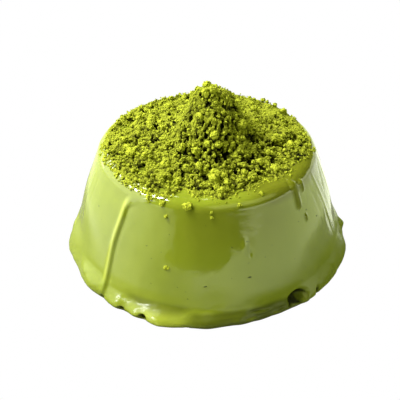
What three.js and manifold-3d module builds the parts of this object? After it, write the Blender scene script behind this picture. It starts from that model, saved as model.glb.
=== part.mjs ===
// A moulded sweet rice cake under poured green-tea glaze, with a heap of clumpy tea powder on top.
// Millimetres, +Z up. The origin is the middle of the underside, which is flat and stands on the table.
// A bearing is an angle round the cake in degrees: 0 is +X, and -90 is -Y, the front.
import * as THREE from 'three';
import { mergeVertices } from 'three/addons/utils/BufferGeometryUtils.js';
import Module from 'manifold-3d';

const wasm = await Module();
wasm.setup();

// ---- driving dimensions ----------------------------------------------------------------------

// The moulded body: a flat top, a round shoulder and a wall that leans outwards.
const TOP_HEIGHT = 31.4;
const TOP_RADIUS = 25.5;
const SHOULDER_RADIUS = 3.2;
const WALL_LEAN = 16.6; // degrees from upright

// The wall bulges slightly between these levels: most at both sides, and this share of it at the front.
const BELLY = { out: 0.55, shareAtFront: 0.5, from: 9, to: 30 };

// The foot, where the glaze pools: it rounds under to the table by this much over this height.
const UNDERCUT = 1.2;
const UNDERCUT_HEIGHT = 1.8;

// Pools of glaze round the foot: bearing, half width in degrees, how far each stands out and how high.
const POOLS = [
  { at: -174, half: 17, out: 1.2, high: 10.5 },
  { at: -145, half: 15, out: 1.3, high: 7 },
  { at: -129, half: 8, out: 1.4, high: 5 },
  { at: -120, half: 6, out: 1.3, high: 4.5 },
  { at: -108, half: 14, out: 2.6, high: 5.5 },
  { at: -93, half: 14, out: 1.4, high: 5 },
  { at: -79, half: 11, out: 0.5, high: 4.5 },
  { at: -44, half: 13, out: 0.8, high: 6 },
  { at: -28, half: 15, out: 0.9, high: 6.5 },
  { at: -10, half: 17, out: 1.5, high: 7 },
  { at: 5, half: 9, out: 1.0, high: 11 },
  { at: 21, half: 15, out: 1.3, high: 6 },
  { at: 42, half: 15, out: 0.8, high: 5 },
  { at: 62, half: 17, out: 1.6, high: 7 },
  { at: 82, half: 13, out: 0.7, high: 5.5 },
  { at: 100, half: 16, out: 1.3, high: 6 },
  { at: 122, half: 16, out: 0.9, high: 8 },
  { at: 143, half: 15, out: 1.4, high: 6 },
  { at: 162, half: 12, out: 0.6, high: 5 },
];
const POOL_WIDEST = 0.33; // share of a pool's height at which it stands out most
const POOL_AT_TABLE = 0.45; // share of that which is left where it meets the table

// A long run of glaze down the front left, from the shoulder to the foot, and the thick sheet left of it.
const RUN_PATH = [
  { at: -129.5, z: 29.6 },
  { at: -132, z: 27.4 },
  { at: -134, z: 23.7 },
  { at: -135.8, z: 20 },
  { at: -137.4, z: 13 },
  { at: -137.5, z: 4 },
];
const RUN_RADIUS = 1.15;
const RUN_PROUD = 0.5;
const SHEET_THICKNESS = 0.15;
const SHEET_WIDTH = 40; // degrees
const SHEET_TOP = 29;
const SHEET_FADE = 5; // the sheet reaches its full thickness this far below its top

// Short drips below the wet shoulder on the right: bearing, the levels of its two ends and its radius.
const DRIPS = [
  { at: -40.5, from: 30.2, to: 25.4, radius: 1.2 },
  { at: -34.5, from: 29.8, to: 28.2, radius: 0.8 },
  { at: -37.5, from: 22, to: 21, radius: 0.5 },
];
const DRIP_PROUD = 0.35;
const ROPE_STEP = 3; // length of one section of a run or a drip
const ROPE_END = 1.02; // size of the round end of a run or a drip, against its own radius

// A fold in the foot at the front right: a scoop under the edge with a lump of glaze left inside it.
const SCOOP = { at: -51, radius: 37.6, z: 2.6, size: [2.7, 3.6, 2.0], tip: 24 };
const LUMP = { at: -48.5, radius: 35.6, z: 1.9, size: [1.7, 2.2, 1.5], tip: 0 };

// The powder lies on the top and over the shoulder. Its edge is uneven: by bearing, along the surface.
const HEAP_GAP = 0.3; // between powder and glaze
const HEAP_EDGE = 26.8;
const HEAP_EDGE_THICKNESS = 0.45;
const EDGE_BAYS = [
  { at: -176, half: 14, in: -0.6 },
  { at: -155, half: 10, in: 0.5 },
  { at: -122, half: 9, in: -0.7 },
  { at: -104, half: 10, in: 4.6 },
  { at: -92, half: 14, in: 2.0 },
  { at: -72, half: 14, in: 2.2 },
  { at: -53, half: 22, in: 4.3 },
  { at: -27, half: 22, in: 2.9 },
  { at: 4, half: 12, in: -0.5 },
  { at: 60, half: 50, in: -0.6 },
  { at: 118, half: 30, in: 0.5 },
];
const BED_THICKNESS = 2.4; // the layer round the peak
const BED_RISE = [0.02, 0.5]; // shares of the way inwards at which the layer starts and ends to thicken
const PEAK_HEIGHT = 15.0; // above that layer
const PEAK_SPREAD = { left: 9.5, right: 8.4 };
const PEAK_POWER = 2.7;
const PEAK_CENTRE = { x: 1.5, y: -2.2 };

// Soft lumps all over the powder: waves that run in different directions and cross. They are low at
// the edge, where they have this share of their height, and gain on it with the way inwards.
const LUMPS = { height: 0.42, length: 7, waves: 7, phase: 1.7, shareAtEdge: 0.2, gain: 6 };
const LUMPS_LENGTHS = { from: 0.55, to: 1.45 }; // the first wave's length and nearly the last one's

// Clumps of powder on the heap, and the few that lie loose on the glaze.
const CLUMP_COUNT = 96;
const CLUMP_SIZE = { least: 0.7, most: 1.7 }; // radius
const CLUMP_SPACING = 1.35; // least distance between two clumps, in radii
const CLUMP_AT_BACK = 0.6; // size of the clumps on the far side, against those at the front
const CLUMP_STRETCH = { least: 0.78, most: 1.2 }; // of each corner
const CLUMP_SHRINK_POWER = 0.7; // how fast the size falls from the first clump to the last
const CLUMP_OUT = 0.15; // how far a clump's middle lies above the powder, in radii
const CLUMPS_END = 0.27; // clumps of the heap keep this far above the glaze
const RIM_CLUMP_OUT = 0.3;
const LOOSE_CLUMP_OUT = 0.35;
const RIM_CLUMPS = [
  { at: 54, along: 26.2, size: 0.7 },
  { at: 45, along: 26.2, size: 0.65 },
];
const LOOSE_CLUMPS = [
  { at: -121, z: 30.3, size: 0.85 },
  { at: -113, z: 30.1, size: 0.95 },
  { at: -110, z: 27.5, size: 0.7 },
  { at: -101, z: 30.5, size: 1.6 },
  { at: -88, z: 29.5, size: 0.5 },
  { at: -88, z: 28.3, size: 0.5 },
  { at: -108, z: 15.2, size: 0.85 },
  { at: -74, z: 30.4, size: 0.6 },
  { at: -60.5, z: 31.1, size: 0.85 },
];

// How finely the two pieces are divided: round the axis, and the rings' levels and shares.
const CAKE_SEGMENTS = 96;
const CAKE_LEVELS = [0, 0.5, 1.2, 2.1, 3.2, 4.4, 5.8, 7.6, 9.8, 12.5, 16, 20, 24, 27.5];
const SHOULDER_STEPS = 5;
const HEAP_SEGMENTS = 72;
const HEAP_RINGS = 19;
const HEAP_RING_POWER = 1.15; // above 1, the rings lie closer together at the edge
const HEAP_RINGS_BELOW = [0, 0.5, 0.86, 0.94];
const HEAP_RIM = { share: 1, level: 0.35 }; // the edge's outermost ring, between underside and top

const MERGE_DISTANCE = 1e-4;
const SEED = { clumpPlaces: 41, clumpShapes: 42 };

// ---- helpers -----------------------------------------------------------------------------------

const radians = THREE.MathUtils.degToRad;
const mix = THREE.MathUtils.lerp;

const GOLDEN_TURN = Math.PI * (3 - Math.sqrt(5));

/** How far bearing a lies past bearing b, from -180 to 180. */
const turn = (a, b) => ((a - b + 540) % 360) - 180;

/** A smooth hump: 1 in the middle, 0 from a distance of 1. */
const hump = (x) => (Math.abs(x) < 1 ? Math.cos((Math.PI / 2) * x) ** 2 : 0);

/** Random numbers from 0 to 1, the same on each run. */
function seeded(seed) {
  let state = seed;
  return () => {
    state = (state + 0x6d2b79f5) | 0;
    let t = Math.imul(state ^ (state >>> 15), 1 | state);
    t = (t + Math.imul(t ^ (t >>> 7), 61 | t)) ^ t;
    return ((t ^ (t >>> 14)) >>> 0) / 4294967296;
  };
}

/** The point at a bearing, a distance from the axis and a level. */
function polar(bearing, radius, z) {
  const a = radians(bearing);
  return new THREE.Vector3(radius * Math.cos(a), radius * Math.sin(a), z);
}

/** A closed geometry as a manifold-3d solid. */
function solid(geometry) {
  const bare = geometry.clone();
  bare.deleteAttribute('normal');
  bare.deleteAttribute('uv');
  const merged = mergeVertices(bare, MERGE_DISTANCE);
  const { array } = merged.index;
  const triangles = [];
  for (let i = 0; i < array.length; i += 3) {
    const [a, b, c] = [array[i], array[i + 1], array[i + 2]];
    if (a !== b && b !== c && c !== a) triangles.push(a, b, c);
  }
  const mesh = new wasm.Mesh({
    numProp: 3,
    vertProperties: Float32Array.from(merged.attributes.position.array),
    triVerts: Uint32Array.from(triangles),
  });
  return new wasm.Manifold(mesh);
}

/** A solid as a named mesh with its own material. */
function named(name, body, look) {
  const { vertProperties, triVerts } = body.getMesh();
  const geometry = new THREE.BufferGeometry();
  geometry.setAttribute('position', new THREE.BufferAttribute(vertProperties, 3));
  geometry.setIndex(new THREE.BufferAttribute(triVerts, 1));
  geometry.computeVertexNormals();
  const mesh = new THREE.Mesh(geometry, new THREE.MeshStandardMaterial(look));
  mesh.name = name;
  return mesh;
}

/** Turns a profile of (u, v) round the axis, and then moves each vertex to place(u, v, bearing). */
function turned(profile, segments, place) {
  const geometry = new THREE.LatheGeometry(profile, segments);
  geometry.rotateX(Math.PI / 2);
  const spots = geometry.attributes.position;
  for (let i = 0; i < spots.count; i += 1) {
    const [x, y] = [spots.getX(i), spots.getY(i)];
    const { x: u, y: v } = profile[i % profile.length];
    const bearing = THREE.MathUtils.radToDeg(Math.atan2(y, x));
    const spot = place(u, v, u > 0 ? bearing : 0);
    spots.setXYZ(i, spot.x, spot.y, spot.z);
  }
  return geometry;
}

// ---- the glazed cake ---------------------------------------------------------------------------

const SHOULDER_TURN = radians(90 - WALL_LEAN);
const SHOULDER_END = {
  radius: TOP_RADIUS + SHOULDER_RADIUS * Math.sin(SHOULDER_TURN),
  z: TOP_HEIGHT - SHOULDER_RADIUS * (1 - Math.cos(SHOULDER_TURN)),
};

/** The wall without its bulge, run on down to the table. */
const wallRadius = (z) => SHOULDER_END.radius + (SHOULDER_END.z - z) * Math.tan(radians(WALL_LEAN));

/** The wall's slight bulge. */
function bellyOut(bearing, z) {
  const height = (2 * z - BELLY.from - BELLY.to) / (BELLY.to - BELLY.from);
  return BELLY.out * hump(height) * mix(BELLY.shareAtFront, 1, Math.cos(radians(bearing)) ** 2);
}

/** How a pool stands out over its height: most at POOL_WIDEST, and nothing at its top. */
function poolShape(t) {
  if (t >= 1) return 0;
  if (t < POOL_WIDEST) return 1 - (1 - POOL_AT_TABLE) * ((POOL_WIDEST - t) / POOL_WIDEST) ** 2;
  return (1 - ((t - POOL_WIDEST) / (1 - POOL_WIDEST)) ** 2) ** 2;
}

/** What the pools of glaze add to the wall. */
const poolsOut = (bearing, z) => POOLS.reduce(
  (sum, pool) => sum + pool.out * hump(turn(bearing, pool.at) / pool.half) * poolShape(z / pool.high),
  0,
);

const undercut = (z) => UNDERCUT * Math.max(0, 1 - z / UNDERCUT_HEIGHT) ** 2;

/** The bearing of the long run at a level. */
function runBearing(z) {
  const next = RUN_PATH.findIndex((point) => point.z <= z);
  if (next === 0) return RUN_PATH[0].at;
  if (next < 0) return RUN_PATH.at(-1).at;
  const [above, below] = [RUN_PATH[next - 1], RUN_PATH[next]];
  return mix(below.at, above.at, (z - below.z) / (above.z - below.z));
}

/** The sheet of glaze left of the long run: thick beside it, thinning away from it. */
function sheetOut(bearing, z) {
  const left = -turn(bearing, runBearing(z));
  const fade = THREE.MathUtils.smoothstep(SHEET_TOP - z, 0, SHEET_FADE);
  return left < 0 ? 0 : SHEET_THICKNESS * fade * hump(left / SHEET_WIDTH);
}

/** The glaze's surface at a bearing and a level below the shoulder. */
const glazeRadius = (bearing, z) => (
  wallRadius(z) + bellyOut(bearing, z) + poolsOut(bearing, z) + sheetOut(bearing, z) - undercut(z)
);

/** A point on the rounded edge and the top, by its distance from the axis along the surface. */
function topPoint(along, bearing, lift) {
  const bend = Math.max(0, along - TOP_RADIUS) / SHOULDER_RADIUS;
  const reach = SHOULDER_RADIUS + lift;
  const radius = Math.min(along, TOP_RADIUS) + reach * Math.sin(bend);
  return polar(bearing, radius, TOP_HEIGHT - SHOULDER_RADIUS + reach * Math.cos(bend));
}

/** The levels of the cake's rings, close together at the foot. */
function cakeProfile() {
  const levels = CAKE_LEVELS.map((z) => new THREE.Vector2(wallRadius(z), z));
  const shoulder = Array.from({ length: SHOULDER_STEPS + 1 }, (_, i) => {
    const bend = SHOULDER_TURN * (1 - i / SHOULDER_STEPS);
    return new THREE.Vector2(
      TOP_RADIUS + SHOULDER_RADIUS * Math.sin(bend),
      TOP_HEIGHT - SHOULDER_RADIUS * (1 - Math.cos(bend)),
    );
  });
  return [new THREE.Vector2(0, 0), ...levels, ...shoulder, new THREE.Vector2(0, TOP_HEIGHT)];
}

/** The moulded body with the pools and the sheet of glaze on it. */
function cakeBody() {
  const onWall = (radius, z) => radius > 0 && z < SHOULDER_END.z - 1e-6;
  return solid(turned(cakeProfile(), CAKE_SEGMENTS, (radius, z, bearing) => (
    polar(bearing, onWall(radius, z) ? glazeRadius(bearing, z) : radius, z)
  )));
}

/** A round rope of glaze along a list of points on the wall, standing proud of it. */
function rope(path, radius, proud) {
  const sunk = path.map(({ at, z }) => polar(at, glazeRadius(at, z) + proud - radius, z));
  const curve = new THREE.CatmullRomCurve3(sunk);
  const section = new THREE.Shape().absarc(0, 0, radius, 0, 2 * Math.PI);
  const steps = Math.max(2, Math.round(curve.getLength() / ROPE_STEP));
  const tube = new THREE.ExtrudeGeometry(section, { steps, curveSegments: 4, extrudePath: curve });
  const ends = [sunk[0], sunk.at(-1)].map((spot) => {
    const ball = new THREE.IcosahedronGeometry(radius * ROPE_END, 0);
    return solid(ball.translate(spot.x, spot.y, spot.z));
  });
  return wasm.Manifold.union([solid(tube), ...ends]);
}

/** An egg of glaze at the foot: its size is outwards, along the foot and up, and tip leans it. */
function egg({ at, radius, z, size, tip }) {
  const geometry = new THREE.IcosahedronGeometry(1, 1);
  geometry.scale(...size);
  geometry.rotateX(radians(tip));
  geometry.rotateZ(radians(at));
  const spot = polar(at, radius, z);
  return solid(geometry.translate(spot.x, spot.y, spot.z));
}

// ---- powder ------------------------------------------------------------------------------------

/** Where the powder ends, along the surface from the axis. */
const heapEdge = (bearing) => HEAP_EDGE - EDGE_BAYS.reduce(
  (sum, bay) => sum + bay.in * hump(turn(bearing, bay.at) / bay.half),
  0,
);

/** Soft lumps of the powder, from -1 to 1, by the place seen from above. */
function lumps(x, y) {
  let sum = 0;
  for (let i = 0; i < LUMPS.waves; i += 1) {
    const way = i * GOLDEN_TURN;
    const length = LUMPS.length * mix(LUMPS_LENGTHS.from, LUMPS_LENGTHS.to, i / LUMPS.waves);
    const across = x * Math.cos(way) + y * Math.sin(way);
    sum += Math.sin((2 * Math.PI * across) / length + LUMPS.phase * i);
  }
  return sum / Math.sqrt(LUMPS.waves / 2);
}

/** The powder's thickness, square to the glaze. */
function heapThickness(along, bearing) {
  const spot = polar(bearing, along, 0);
  const [x, y] = [spot.x - PEAK_CENTRE.x, spot.y - PEAK_CENTRE.y];
  const distance = Math.hypot(x, y);
  const rightness = distance > 0 ? (x / distance + 1) / 2 : 0.5;
  const spread = mix(PEAK_SPREAD.left, PEAK_SPREAD.right, rightness);
  const peak = PEAK_HEIGHT * Math.exp(-((distance / spread) ** PEAK_POWER));
  const inwards = Math.max(0, 1 - along / heapEdge(bearing));
  const rise = THREE.MathUtils.smoothstep(inwards, ...BED_RISE);
  const bed = mix(HEAP_EDGE_THICKNESS, BED_THICKNESS, rise);
  const relief = LUMPS.height * Math.min(1, LUMPS.shareAtEdge + LUMPS.gain * inwards);
  return bed + peak + relief * lumps(spot.x, spot.y);
}

/** The heap's core: its underside follows the cake, and its top is the powder's surface. */
function heapCore() {
  const over = Array.from({ length: HEAP_RINGS }, (_, i) => (
    new THREE.Vector2(1 - ((i + 1) / HEAP_RINGS) ** HEAP_RING_POWER, 1)
  ));
  const under = HEAP_RINGS_BELOW.map((share) => new THREE.Vector2(share, 0));
  const rim = new THREE.Vector2(HEAP_RIM.share, HEAP_RIM.level);
  return solid(turned([...under, rim, ...over], HEAP_SEGMENTS, (share, level, bearing) => {
    const along = share * heapEdge(bearing);
    return topPoint(along, bearing, HEAP_GAP + level * heapThickness(along, bearing));
  }));
}

/** An angular clump of powder of few sides. */
function clump(size, spot, random) {
  const bare = new THREE.IcosahedronGeometry(size, 0);
  bare.deleteAttribute('normal');
  bare.deleteAttribute('uv');
  const geometry = mergeVertices(bare, MERGE_DISTANCE);
  const corners = geometry.attributes.position;
  for (let i = 0; i < corners.count; i += 1) {
    const stretch = mix(CLUMP_STRETCH.least, CLUMP_STRETCH.most, random());
    corners.setXYZ(i, corners.getX(i) * stretch, corners.getY(i) * stretch, corners.getZ(i) * stretch);
  }
  geometry.rotateX(2 * Math.PI * random());
  geometry.rotateZ(2 * Math.PI * random());
  return solid(geometry.translate(spot.x, spot.y, spot.z));
}

/** Where clumps lie on the heap, the largest first, with no two closer than their spacing allows. */
function heapClumpSpots() {
  const random = seeded(SEED.clumpPlaces);
  const kept = RIM_CLUMPS.map(({ at, along, size }) => (
    { size, spot: topPoint(along, at, HEAP_GAP + HEAP_EDGE_THICKNESS + RIM_CLUMP_OUT * size) }
  ));
  while (kept.length < CLUMP_COUNT) {
    const share = (kept.length / CLUMP_COUNT) ** CLUMP_SHRINK_POWER;
    const bearing = 360 * random() - 180;
    const backness = Math.max(0, Math.sin(radians(bearing)));
    const size = mix(CLUMP_SIZE.most, CLUMP_SIZE.least, share) * mix(1, CLUMP_AT_BACK, backness);
    const along = (heapEdge(bearing) - size * CLUMP_STRETCH.most) * Math.sqrt(random());
    const lift = HEAP_GAP + heapThickness(along, bearing) + CLUMP_OUT * size;
    const spot = topPoint(along, bearing, lift);
    const clear = kept.every((other) => (
      other.spot.distanceTo(spot) > CLUMP_SPACING * Math.max(size, other.size)
    ));
    if (clear) kept.push({ size, spot });
  }
  return kept;
}

/** Loose clumps, pressed a little into the glaze they lie on. */
function looseClumps(random) {
  return LOOSE_CLUMPS.map(({ at, z, size }) => {
    const lift = LOOSE_CLUMP_OUT * size;
    const bend = Math.acos(1 - (TOP_HEIGHT - z) / SHOULDER_RADIUS);
    const spot = z > SHOULDER_END.z
      ? topPoint(TOP_RADIUS + bend * SHOULDER_RADIUS, at, lift)
      : polar(at, glazeRadius(at, z) + lift, z);
    return clump(size, spot, random);
  });
}

// ---- the two pieces ----------------------------------------------------------------------------

function glazedCake(random) {
  const runs = [
    rope(RUN_PATH, RUN_RADIUS, RUN_PROUD),
    ...DRIPS.map(({ at, from, to, radius }) => (
      rope([{ at, z: from }, { at, z: (from + to) / 2 }, { at, z: to }], radius, DRIP_PROUD)
    )),
  ];
  const body = cakeBody().subtract(egg(SCOOP)).add(egg(LUMP));
  const belowTable = new THREE.BoxGeometry(100, 100, 20).translate(0, 0, -10);
  return wasm.Manifold.union([body, ...runs, ...looseClumps(random)]).subtract(solid(belowTable));
}

/** The cake's top and shoulder, lifted by nearly the gap under the heap: what clumps must not reach. */
function underHeap() {
  const outside = new THREE.Vector2(SHOULDER_END.radius + CLUMPS_END, TOP_HEIGHT - 2 * SHOULDER_RADIUS);
  const edge = Array.from({ length: SHOULDER_STEPS + 1 }, (_, i) => {
    const along = TOP_RADIUS + SHOULDER_TURN * SHOULDER_RADIUS * (1 - i / SHOULDER_STEPS);
    const spot = topPoint(along, 0, CLUMPS_END);
    return new THREE.Vector2(spot.x, spot.z);
  });
  const profile = [
    new THREE.Vector2(0, outside.y), outside, ...edge, new THREE.Vector2(0, TOP_HEIGHT + CLUMPS_END),
  ];
  return solid(turned(profile, CAKE_SEGMENTS, (radius, z, bearing) => polar(bearing, radius, z)));
}

function powderHeap(random) {
  const clumps = heapClumpSpots().map(({ size, spot }) => clump(size, spot, random));
  return heapCore().add(wasm.Manifold.union(clumps).subtract(underHeap()));
}

const random = seeded(SEED.clumpShapes);
const cake = new THREE.Group();
cake.add(
  named('glazed_cake', glazedCake(random), { color: 0xa9bd4a, roughness: 0.18, metalness: 0 }),
  named('powder_heap', powderHeap(random), { color: 0x9aa526, roughness: 0.95, metalness: 0 }),
);

export default cake;
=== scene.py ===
"""A moulded rice cake under poured green-tea glaze, with a heap of clumpy tea powder on top.

Sizes are in millimetres and bearings in degrees (0 is +X, -90 the front) until a mesh is made, in metres.
Where something fades over a pair of values, it has ended at the first one and is whole at the second.
"""
import math
from collections import namedtuple

import bmesh
import bpy
import numpy as np
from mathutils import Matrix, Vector


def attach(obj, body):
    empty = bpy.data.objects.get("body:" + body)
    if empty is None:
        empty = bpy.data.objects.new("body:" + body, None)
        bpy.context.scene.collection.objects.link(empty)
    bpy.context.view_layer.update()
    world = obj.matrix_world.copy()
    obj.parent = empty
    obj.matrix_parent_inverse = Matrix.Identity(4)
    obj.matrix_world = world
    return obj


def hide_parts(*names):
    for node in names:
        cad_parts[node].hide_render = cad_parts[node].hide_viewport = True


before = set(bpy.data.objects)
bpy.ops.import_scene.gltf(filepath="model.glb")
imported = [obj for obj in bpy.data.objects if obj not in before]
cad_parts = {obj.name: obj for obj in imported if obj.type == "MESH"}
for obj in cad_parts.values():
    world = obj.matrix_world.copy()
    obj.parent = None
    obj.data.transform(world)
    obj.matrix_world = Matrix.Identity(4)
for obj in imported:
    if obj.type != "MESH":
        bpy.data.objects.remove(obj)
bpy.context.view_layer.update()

MM = 0.001
GOLDEN_TURN = math.pi * (3 - math.sqrt(5))
TINY = 1e-6

# ---- the cake's form, as in the solids ----

TOP_HEIGHT = 31.4
TOP_RADIUS = 25.5
SHOULDER_RADIUS = 3.2
WALL_LEAN = 16.6  # degrees from upright
BELLY = 0.55  # the wall's bulge at both sides
BELLY_AT_FRONT = 0.5  # share of it at the front
BELLY_LEVELS = (9, 30)
UNDERCUT = 1.2  # how far the foot rounds under to the table
UNDERCUT_HEIGHT = 1.8

# Pools of glaze round the foot: bearing, half width in degrees, how far each stands out and how high.
POOLS = (
    (-174, 17, 1.2, 10.5), (-145, 15, 1.3, 7), (-129, 8, 1.4, 5), (-120, 6, 1.3, 4.5),
    (-108, 14, 2.6, 5.5), (-93, 14, 1.4, 5), (-79, 11, 0.5, 4.5), (-44, 13, 0.8, 6),
    (-28, 15, 0.9, 6.5), (-10, 17, 1.5, 7), (5, 9, 1.0, 11), (21, 15, 1.3, 6), (42, 15, 0.8, 5),
    (62, 17, 1.6, 7), (82, 13, 0.7, 5.5), (100, 16, 1.3, 6), (122, 16, 0.9, 8),
    (143, 15, 1.4, 6), (162, 12, 0.6, 5),
)
POOL_WIDEST = 0.33  # share of a pool's height at which it stands out most
POOL_AT_TABLE = 0.45  # share of that which is left where it meets the table

# The long run of glaze down the front left: bearing and level, and the thick sheet to its left.
RUN_PATH = (
    (-129.6, 30.4), (-131.6, 29.2), (-132.4, 28), (-132.7, 26.8), (-133.1, 23.7), (-134.4, 20),
    (-135.6, 16), (-136, 12.5), (-136, 4),
)
RUN_PROUD = 0.5
SHEET_THICKNESS = 0.15
SHEET_WIDTH = 40  # degrees
SHEET_TOP = 29
SHEET_FADE = 5

# Short drips high on the right: bearing, levels of both ends and radius.
DRIPS = ((-40.5, 30.2, 25.4, 1.2), (-34.5, 29.8, 28.2, 0.8), (-37.5, 22, 21, 0.5))
DRIP_PROUD = 0.45

# Hollows and bumps of the glaze: bearing, level, half width, half height, how far out.
# First the fold in the foot at the front right, and the lump inside it.
SCOOP = (-50.8, 2.8, 4.4, 2.8, -2.9)
LUMP = (-48, 2.2, 2.5, 2.2, 1.6)

# ---- the powder's form, as in the solids ----

HEAP_GAP = 0.3
HEAP_EDGE = 26.8  # distance from the axis along the surface
HEAP_EDGE_THICKNESS = 0.45

# Bays and spurs of its edge: bearing, half width in degrees and how far inwards.
EDGE_BAYS = (
    (-176, 14, -0.6), (-155, 10, 0.5), (-122, 9, -0.7), (-104, 10, 4.6), (-92, 14, 2.0), (-72, 14, 2.2),
    (-53, 22, 4.3), (-27, 22, 2.9), (4, 12, -0.5), (60, 50, -0.6), (118, 30, 0.5),
)
BED_THICKNESS = 2.4  # the layer round the peak
BED_RISE = (0.02, 0.5)  # shares of the way inwards
PEAK_HEIGHT = 15.0
PEAK_SPREADS = (9.5, 8.4)  # on the left and on the right
PEAK_POWER = 2.7
PEAK_CENTRE = (1.5, -2.2)

# Soft lumps all over it: waves that cross.
LUMPS_HEIGHT = 0.42
LUMPS_LENGTH = 7
LUMPS_LENGTHS = (0.55, 1.45)  # of the first wave and nearly of the last one, in that length
LUMPS_WAVES = 7
LUMPS_PHASE = 1.7
LUMPS_AT_EDGE = 0.2
LUMPS_GAIN = 6

CLUMP_COUNT = 96
CLUMP_SIZES = (1.7, 0.7)  # radii of the first one and nearly of the last
CLUMP_SPACING = 1.35  # least distance between two clumps, in radii
CLUMP_AT_BACK = 0.6  # size on the far side, against the front
CLUMP_STRETCH = 1.2
CLUMP_SHRINK_POWER = 0.7  # how fast the size falls
CLUMP_OUT = 0.15  # how far a clump's middle lies above the powder, in radii
RIM_CLUMPS = ((54, 26.2, 0.7), (45, 26.2, 0.65))  # bearing, distance along the surface and radius
RIM_CLUMP_OUT = 0.3
CLUMP_SEED = 41

# Loose clumps on the glaze: bearing, level and radius.
LOOSE_CLUMPS = (
    (-121, 30.3, 0.85), (-113, 30.1, 0.95), (-110, 27.5, 0.7), (-101, 30.5, 1.6), (-88, 29.5, 0.5),
    (-88, 28.3, 0.5), (-108, 15.2, 0.85), (-74, 30.4, 0.6), (-60.5, 31.1, 0.85),
)
LOOSE_CLUMP_OUT = 0.35

# ---- finer forms of the glaze, that only the looks have ----

RUN_CREST = 1.1  # half width of the run's left flank
RUN_FALL = (0.85, -0.05)  # its right flank, across the run
RUN_HEAD = (26, 29.2)  # levels over which that flank widens
RUN_HEAD_FALL = 3.4  # by this much
RUN_GROOVE = (1.2, 0.8, 0.04)  # along its right side: distance, half width and depth
RUN_TOP = (30, 26)
RUN_FOOT = (0.8, 3.5)

# More hollows and bumps, written as the scoop is. The notches lie along the table.
NOTCHES = (
    (-136, 1.2, 0.9, 1.1, -1.5), (-125.5, 1.1, 1.3, 1.0, -1.6), (-115.3, 1.4, 1.5, 1.2, -2.0),
    (-54.2, 1.2, 1.5, 0.9, -1.3), (-98, 0.4, 1.0, 0.7, -1.0), (-40, 1.6, 1.2, 1.8, -1.3),
)
DENTS_AND_BUMPS = (
    (-27, 3.0, 1.4, 2.2, -0.25), (-72, 1.6, 2.6, 0.7, 0.35), (-67, 2.7, 3.2, 0.6, 0.3),
    (-62, 1.2, 2.2, 0.7, 0.35), (-70, 3.6, 3.0, 0.5, -0.2), (-59, 2.2, 1.6, 0.7, -0.35),
    (-80, 1.1, 2.4, 0.5, -0.25), (-73, 20.5, 1.2, 2.4, 0.22), (-71, 18.5, 0.8, 1.6, -0.18),
    (-150, 4.2, 2.6, 1.6, 0.25), (-179, 6.5, 2.6, 2.4, 0.3), (2.5, 5.0, 1.7, 2.5, 1.05),
    (-5, 4.0, 1.9, 1.6, -0.5),
)

# Thin upright streaks: bearing and level of the upper and the lower end, width, how far out.
STREAKS = (
    ((-22, 29.4), (-13, 7.2), 0.45, 0.16), ((-9, 29.3), (-14, 20.5), 0.7, -0.14),
    ((-28, 28), (-22, 12), 0.6, -0.07), ((-5, 30), (-4, 16), 0.5, 0.12), ((-17, 27), (-9, 12), 0.6, 0.08),
    ((-167, 28), (-168, 14), 0.6, 0.08), ((-161, 29), (-163, 15), 0.5, -0.06),
    ((-174, 27), (-174, 12), 0.7, -0.07),
)
STREAK_TOP = (0.5, -2)  # from each end's level
STREAK_FOOT = (-1, 3)

# Soft unevenness: depth, length, seed, stretch upwards and the levels it fades over.
EVERYWHERE = (200, 100)  # levels far above the cake
GLAZE_RIPPLES = (
    (0.1, 17, 1, 1, EVERYWHERE), (0.028, 5, 2, 4, EVERYWHERE), (0.005, 2.2, 3, 1, EVERYWHERE),
    (0.11, 6.5, 4, 1, (8, 3)), (0.03, 2.6, 5, 1, (8, 3)), (0.02, 1.7, 6, 1, (7, 4)),
)
RELIEF_ON_TOP = (20, 25)  # by distance from the axis

# The glaze's mesh. The rows on top lie at these distances from the axis.
GLAZE_COLUMNS = 540
FOOT_ROWS_TOP = 11
FOOT_ROW_HEIGHT = 0.2
WALL_ROWS = 42
SHOULDER_ROWS = 18
TOP_ROWS = (24.5, 23, 20, 15, 8, 0.5)

# Dark specks of tea in the glaze: bearing, level and length. A few more are strewn between two levels.
SPECKS = (
    (-118, 19.2, 0.5), (-115, 16.4, 0.4), (-91, 11.0, 1.0), (-72, 12.4, 1.0), (-72, 21.5, 0.5),
    (-79, 20.6, 0.4), (-152, 21.7, 0.5), (-114, 10.0, 0.4), (-98, 7.7, 0.4), (-29, 19.3, 0.8),
    (-43, 21.6, 0.5), (-36, 23.0, 0.6), (-60, 19.0, 0.3), (-64, 16.6, 0.35), (-49, 13.0, 0.35),
)
STREWN_SPECKS = 60
STREWN_LEVELS = (6, 29)
STREWN_LENGTHS = (0.15, 0.32)
SPECK_SUNK = 0.02
SPECK_THICKNESS = 0.09  # half of it
SPECK_HEIGHT = 0.45  # height against length
SPECK_LEAN = 0.5  # at most, as a slope

# ---- shades of the glaze: wet glaze, painted light and painted shade ----

# Patches: strength, the fades by level and the fades by bearing.
# First wet glaze high on the front right, then painted shade high on the front wall, where less light falls.
WET_AND_SHADE_PATCHES = (
    (1, ((26.5, 29.5),), ((-74, -54), (14, -6))),
    (0.55, ((14, 26), (31, 30)), ((-118, -91), (-34, -61))),
)
DULL_BAND = (0.8, ((9, 6.2), (2.6, 4)), ((-80, -66), (-40, -52)))
# Painted shade low on the front foot right of the widest pool, then painted shade in the crease above that
# pool.
LEE_SHADE = (0.58, ((5, 3.7),), ((-101, -94), (-50, -60)))
CREASE_SHADE = (0.5, (), ((-127, -118), (-94, -102)))
CREASE_LEVEL = (4.7, 1.8)  # middle and half height

# Patches round one bearing: strength, the fade by level, bearing and half width.
DULL_FOOT = ((1, (12.5, 7), -12, 62), (0.5, (9, 7), -122, 60), (0.6, (4, 2.5), -62, 22))
# Painted light on the widest pool.
POOL_PAINTED_LIGHT = (0.5, (6, 3), -109, 17)

# Painted light on the long run's crest, at these levels.
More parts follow.
